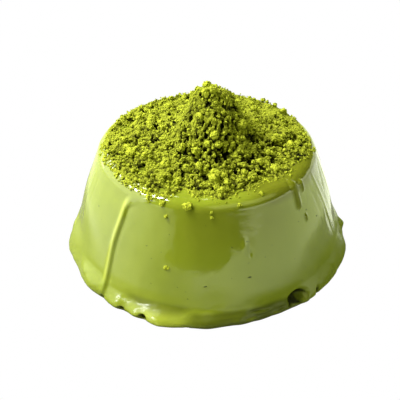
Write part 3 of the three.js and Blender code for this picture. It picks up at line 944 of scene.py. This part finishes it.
def scattered_spots(count, least, most, spacing, coarse_only):
    """Distances, bearings and sizes, none closer than spacing times its size to another."""
    cells, kept = {}, []
    for _ in range(TRIES_EACH * count):
        bearing = rng.uniform(-180, 180)
        edge = heap_edge(bearing)
        along = edge * math.sqrt(rng.uniform(0, 1)) - SCATTER_INSET
        x, y = along * math.cos(math.radians(bearing)), along * math.sin(math.radians(bearing))
        coarse = crumbliness(x, y)
        size = mix(least, most, rng.uniform() ** 2)
        wanted = rng.uniform() <= mix(1, coarse**COARSE_POWER, coarse_only)
        if not wanted or along > edge - SCATTER_EDGE - size * (1 - coarse):
            continue
        home = (round(x / most), round(y / most))
        near = in_cells_near(cells, home)
        if all(math.hypot(x - a, y - b) > spacing * max(size, c) for a, b, c in near):
            cells.setdefault(home, []).append((x, y, size))
            kept.append((max(along, SCATTER_INNERMOST), bearing, size))
        if len(kept) == count:
            break
    return np.array(kept).T


def scattered(count, least, most, spacing, coarse_only, bridging=0.0):
    """Places for clumps between two sizes, on the bed but not deep in its pits.

    From 0 to 1, coarse_only keeps them to the coarse powder, and bridging lifts them over the pits."""
    alongs, bearings, sizes = scattered_spots(count, least, most, spacing, coarse_only)
    normals = heap_normal(alongs, bearings)
    bare = heap_point(alongs, bearings)
    height, shades = powder_height(bare)
    open_air = height > PIT_BOTTOM - bridging
    height = mix(height, 0, bridging) + sizes * rng.uniform(*SCATTER_SUNK, len(sizes))
    spots = bare + normals * height[:, None]
    shades = mix(mix(SHADE_IN_PITS, 1, shades), 1, bridging)
    return Places(*(part[open_air] for part in (spots, normals, sizes, shades)))


def edge_places(count, first, last, reach):
    """Crumbs on the glaze just past the powder's edge, between two bearings."""
    bearings = rng.uniform(first, last, count)
    sizes = rng.uniform(*EDGE_CRUMBS, count)
    outwards = (EDGE_FROM + reach) * rng.uniform(0, 1, count) ** EDGE_POWER
    alongs = heap_edge(bearings) - EDGE_FROM + outwards
    spots = top_point(alongs, bearings, EDGE_OUT * sizes)
    return Places(spots, polar(bearings, *EDGE_NORMAL), sizes, np.full(count, EDGE_SHADE))


def glaze_spot(at, z, bend, shift, lift):
    """A spot this high over the wall or the shoulder, shifted up and sideways."""
    up, sideways = shift
    bearing = at + math.degrees(sideways / LOOSE_FROM_AXIS)
    if bend:
        return top_point(TOP_RADIUS + bend * SHOULDER_RADIUS - up, bearing, lift)
    level = z + up
    return polar(bearing, wall_radius(level) + pools_out(bearing, level) + lift, level)


def loose_places():
    """Clumps on the glaze itself, each of several crumbs."""
    spots, normals, sizes = [], [], []
    for at, z, size in LOOSE_CLUMPS:
        bend = math.acos(1 - (TOP_HEIGHT - z) / SHOULDER_RADIUS) if z > SHOULDER_END_Z else 0
        for i, share in enumerate(LOOSE_CRUMBS):
            shift = rng.uniform(-LOOSE_SPREAD, LOOSE_SPREAD, 2) * size if i else (0, 0)
            spots.append(glaze_spot(at, z, bend, shift, LOOSE_CLUMP_OUT * size * share))
            normals.append(polar(at, math.sin(max(bend, LOOSE_TILT)), LOOSE_UPWARDS))
            sizes.append(size * share)
    return Places(np.array(spots), np.array(normals), np.array(sizes), np.ones(len(sizes)))


# ---- specks in the glaze ----

def build_specks():
    """Thin flakes nearly flush with the glaze: the listed ones and a few more all round."""
    ranges = ((-180, 180), STREWN_LEVELS, STREWN_LENGTHS)
    strewn = np.stack([rng.uniform(*between, STREWN_SPECKS) for between in ranges], axis=1)
    at, level, length = np.concatenate((np.array(SPECKS), strewn)).T
    ways, triangles = ball(2)
    wall = wall_radius(level)
    radius = wall + pools_out(at, level) + relief(at, level, polar(at, wall, level))
    middle = polar(at, radius - SPECK_SUNK, level)[:, None, :]
    outwards = polar(at, 1, 0)[:, None, :]
    sideways = polar(at + 90, 1, 0)[:, None, :]
    upwards = np.array((0, 0, 1))
    lean = rng.uniform(-SPECK_LEAN, SPECK_LEAN, len(at))[:, None, None]
    long = length[:, None, None] / 2 * ways[None, :, 1:2] * (sideways + lean * upwards)
    high = length[:, None, None] / 2 * SPECK_HEIGHT * ways[None, :, 2:] * upwards
    thick = ways[None, :, :1] * SPECK_THICKNESS * outwards
    return make_mesh("glaze_specks", *copies(middle + thick + long + high, triangles))


# ---- materials ----

def grey(value):
    return (value,) * 3


def feed(tree, node, values):
    """Links or sets a node's inputs, by name or number."""
    for name, value in values.items():
        socket = node.inputs[name]
        if isinstance(value, bpy.types.NodeSocket):
            tree.links.new(value, socket)
        else:
            socket.default_value = (*value, 1) if socket.type == "RGBA" else value
    return node


def add_node(tree, kind, values):
    return feed(tree, tree.nodes.new(kind), values)


def new_material(name):
    material = bpy.data.materials.new(name)
    material.use_nodes = True
    tree = material.node_tree
    return material, tree, tree.nodes["Principled BSDF"]


def own_place(tree):
    """The place on the object itself."""
    return tree.nodes.new("ShaderNodeTexCoord").outputs["Object"]


def texture(tree, kind, size):
    """A texture with features of this size in millimetres."""
    return add_node(tree, kind, {"Vector": own_place(tree), "Scale": 1 / (size * MM)})


def noise(tree, size):
    return feed(tree, texture(tree, "ShaderNodeTexNoise", size), {"Detail": 3}).outputs["Fac"]


def grains(tree):
    """Grains side by side: 0 in the middle of each and up to 1 between them."""
    return texture(tree, "ShaderNodeTexVoronoi", GRAIN_SIZE).outputs["Distance"]


def attribute(tree, name):
    node = tree.nodes.new("ShaderNodeAttribute")
    node.attribute_name = name
    return node.outputs["Fac"]


def ramp(tree, value, stops):
    """Colours by value: stops of place and colour."""
    node = add_node(tree, "ShaderNodeValToRGB", {"Fac": value})
    points = node.color_ramp.elements
    while len(points) < len(stops):
        points.new(0.5)
    for point, (place, colour) in zip(points, stops):
        point.position = place
        point.color = (*colour, 1)
    return node.outputs["Color"]


def clouds(tree, size, first, second):
    """Soft clouds of this size that go from one colour to another."""
    return ramp(tree, noise(tree, size), ((0.3, first), (0.7, second)))


def blend_colours(tree, share, first, second, way="MIX"):
    node = tree.nodes.new("ShaderNodeMix")
    node.data_type = "RGBA"
    node.blend_type = way
    return feed(tree, node, {0: share, 6: first, 7: second}).outputs[2]


def bump(tree, height, depth):
    """A normal from a height of 0 to 1 that stands for this depth in millimetres."""
    return add_node(tree, "ShaderNodeBump", {"Height": height, "Distance": depth * MM}).outputs["Normal"]


def glaze_material():
    """Glossy and slightly translucent, with painted light and shade in its colour, a weaker mirror where it
    is dull and a satin foot.
    """
    material, tree, shader = new_material("glossy_tea_glaze")
    colour = clouds(tree, 9, *GLAZE_CLOUDS)
    # Painted light, wet glaze with painted shade, and painted shade, blended over the glaze's own colour.
    for name, shade in GLAZE_SHADES:
        colour = blend_colours(tree, attribute(tree, name), colour, shade)
    rough = clouds(tree, 4, grey(0.05), grey(0.1))
    feed(tree, shader, {
        "Base Color": colour,
        "Roughness": blend_colours(tree, attribute(tree, "foot"), rough, grey(0.22)),
        "Specular IOR Level": ramp(tree, attribute(tree, "dull"), ((0, grey(0.5)), (0.8, grey(0.06)))),
        "Normal": bump(tree, noise(tree, 1.2), depth=0.02),
        "IOR": 1.7,
        "Subsurface Weight": 0.25,
        "Subsurface Radius": (1.0, 1.2, 0.3),
        "Subsurface Scale": 1.5 * MM,
    })
    return material


def powder_material():
    """Matt powder with painted shade low down and between grains, and a little different from clump to
    clump.
    """
    material, tree, shader = new_material("tea_powder")
    tinted = tuple(c * POWDER_TINT for c in POWDER_PALE)
    by_clump = blend_colours(tree, attribute(tree, "tint"), POWDER_PALE, tinted)
    # Painted light by the lift value: painted shade low down.
    by_painted_light = blend_colours(tree, attribute(tree, "lift"), POWDER_PAINTED_SHADE, by_clump)
    # Painted shade between the grains.
    painted_grain_shade = ramp(tree, grains(tree), ((0.2, grey(1)), (0.5, grey(0.93)), (0.8, grey(0.5))))
    height = ramp(tree, grains(tree), ((0, grey(1)), (0.8, grey(0))))
    feed(tree, shader, {
        "Base Color": blend_colours(tree, 1.0, by_painted_light, painted_grain_shade, "MULTIPLY"),
        "Roughness": 1.0,
        "Specular IOR Level": 0.1,
        "Normal": bump(tree, height, depth=0.15),
    })
    return material


def speck_material():
    material, tree, shader = new_material("dark_tea_specks")
    colour = clouds(tree, 0.4, *SPECK_COLOURS)
    feed(tree, shader, {"Base Color": colour, "Roughness": 0.5, "Specular IOR Level": 0.1})
    return material


# ---- light, floor and camera ----

def add_softbox(name, azimuth, elevation, width, height, power, colour):
    """An area light in the sky, aimed at the cake."""
    light = bpy.data.lights.new(name, "AREA")
    light.shape = "RECTANGLE"
    light.size, light.size_y = width, height
    light.energy = power
    light.color = colour
    box = add_object(name, light)
    way = Vector(polar(azimuth, math.cos(math.radians(elevation)), math.sin(math.radians(elevation))))
    box.location = Vector((0, 0, SOFTBOX_AIM * MM)) + way * SOFTBOX_DISTANCE
    box.rotation_euler = way.to_track_quat("Z", "Y").to_euler()
    box.visible_camera = False


def flat_sheet(name, corners, level):
    """One flat face."""
    points = np.array([(x, y, level) for x, y in corners])
    return make_mesh(name, points, np.arange(len(corners))[None], flat=True)


def floor_material():
    """White, with a glow that differs by bearing and is weak close to the cake: a painted shadow of the
    cake.
    """
    material, tree, shader = new_material("white_floor")
    around = add_node(tree, "ShaderNodeTexGradient", {"Vector": own_place(tree)})
    around.gradient_type = "RADIAL"
    away = tree.nodes.new("ShaderNodeVectorMath")
    away.operation = "DISTANCE"
    feed(tree, away, {0: own_place(tree), 1: [x * MM for x in CONTACT_SHADOW_CENTRE]})
    strength = add_node(tree, "ShaderNodeMapRange", {
        "Value": away.outputs["Value"],
        "From Min": CONTACT_SHADOW_RADII[0] * MM,
        "From Max": CONTACT_SHADOW_RADII[1] * MM,
        "To Min": CONTACT_SHADOW_GLOW,
    })
    feed(tree, shader, {
        "Base Color": grey(0.1),
        "Roughness": 0.9,
        "Specular IOR Level": 0,
        "Emission Color": ramp(
            tree, around.outputs["Fac"], [((at + 180) / 360, colour) for at, colour in FLOOR_GLOW]
        ),
        "Emission Strength": strength.outputs["Result"],
    })
    return material


def add_floor():
    """A plain white floor, which the glaze mirrors up to its front edge."""
    floor = flat_sheet("floor", FLOOR_EDGE, level=-0.1)
    floor.data.materials.append(floor_material())
    floor.visible_camera = False


def add_board(name, first, last, glow, fade, lift):
    """A board far round the cake. It fades towards its last bearing, and its foot lifts at the first."""
    bearings = np.linspace(first, last, 2 + abs(last - first))
    width, power = BOARD_LIFT
    lifted = lift * np.clip((first + width - bearings) / width, 0, 1) ** power
    feet = polar(bearings, BOARD_DISTANCE, BOARD_FOOT + lifted)
    heads = polar(bearings, BOARD_DISTANCE, BOARD_DISTANCE * math.tan(math.radians(BOARD_TOP)))
    count = len(bearings)
    left = np.arange(count - 1)
    faces = np.stack((left, left + 1, left + 1 + count, left + count), axis=1)
    glows = glow * (smooth(0, fade, last - bearings) if fade else np.ones(count))
    board = make_mesh(name, np.concatenate((feet, heads)), faces, {"glow": np.tile(glows, 2)}, flat=True)
    material, tree, shader = new_material(name)
    strength = attribute(tree, "glow")
    feed(tree, shader, {
        "Base Color": grey(0.5), "Emission Color": (0.93, 1, 0.55), "Emission Strength": strength,
    })
    board.data.materials.append(material)
    board.visible_camera = False


def add_card():
    """A small white card that lies beside the cake at the back right."""
    card = flat_sheet("card", CARD_CORNERS, level=0.2)
    material, tree, shader = new_material("white_card")
    feed(tree, shader, {
        "Base Color": grey(0.3), "Emission Color": (0.93, 1, 0.7), "Emission Strength": 1.25,
    })
    card.data.materials.append(material)
    card.visible_camera = False


def background(tree, strength):
    return add_node(tree, "ShaderNodeBackground", {"Color": WHITE, "Strength": strength}).outputs[0]


def set_world():
    """White where the camera looks past the cake, and dim for everything else."""
    world = bpy.data.worlds.new("studio")
    bpy.context.scene.world = world
    world.use_nodes = True
    tree = world.node_tree
    tree.nodes.clear()
    seen = tree.nodes.new("ShaderNodeLightPath").outputs["Is Camera Ray"]
    shaders = {1: background(tree, strength=0.03), 2: background(tree, strength=1.0)}
    mixer = add_node(tree, "ShaderNodeMixShader", {0: seen, **shaders})
    add_node(tree, "ShaderNodeOutputWorld", {"Surface": mixer.outputs[0]})


def add_camera():
    camera = add_object("camera", bpy.data.cameras.new("camera"))
    camera.location = [x * MM for x in CAMERA_PLACE]
    camera.rotation_euler = (math.radians(90 - CAMERA_DOWN), 0, 0)
    camera.data.sensor_width = 36
    camera.data.lens = 100.7
    camera.data.clip_start = 10 * MM
    bpy.context.scene.camera = camera


def finish_piece(piece, material):
    piece.data.materials.append(material)
    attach(piece, "root")


# ---- the object ----

glaze = glaze_material()
powder = powder_material()

finish_piece(build_glaze(), glaze)
finish_piece(build_specks(), speck_material())
finish_piece(build_bed(), powder)

# Heaps of clumps: name, places, the balls' detail, balls in a clump and whether its faces are flat.
lumps = large_clumps()
clumps = scattered(760, 0.36, 0.72, 1.5, 0.9, bridging=0.7)
heaps = (
    ("powder_lumps", lumps, 3, 40, False),
    ("powder_clumps", clumps, 2, 20, False),
    ("powder_lump_crumbs", crumbs_over(lumps, crumb=0.33, cover=1.7), 1, 6, False),
    ("powder_clump_crumbs", crumbs_over(clumps, crumb=0.27, cover=1.3), 1, 6, False),
    ("powder_crumbs", scattered(1500, 0.24, 0.42, 1.1, 0.35), 2, 12, False),
    ("powder_grains", scattered(7000, 0.12, 0.24, 0.6, 0.0), 1, 4, True),
)
for heap in heaps:
    piece = build_clumps(*heap)
    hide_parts("powder_heap")
    finish_piece(piece, powder)
finish_piece(build_clumps("loose_powder", loose_places(), 3, 14), powder)
for name, *where in EDGE_POWDER:
    finish_piece(build_clumps(name, edge_places(*where), 2, 10), powder)

add_floor()
set_world()
for softbox in SOFTBOXES:
    add_softbox(*softbox)
add_board("right_board", -60, 150, glow=1.2, fade=0, lift=125)
add_card()
add_board("left_board", -145, -118, glow=1.1, fade=26, lift=0)
add_camera()
bpy.context.scene.view_settings.view_transform = "Standard"
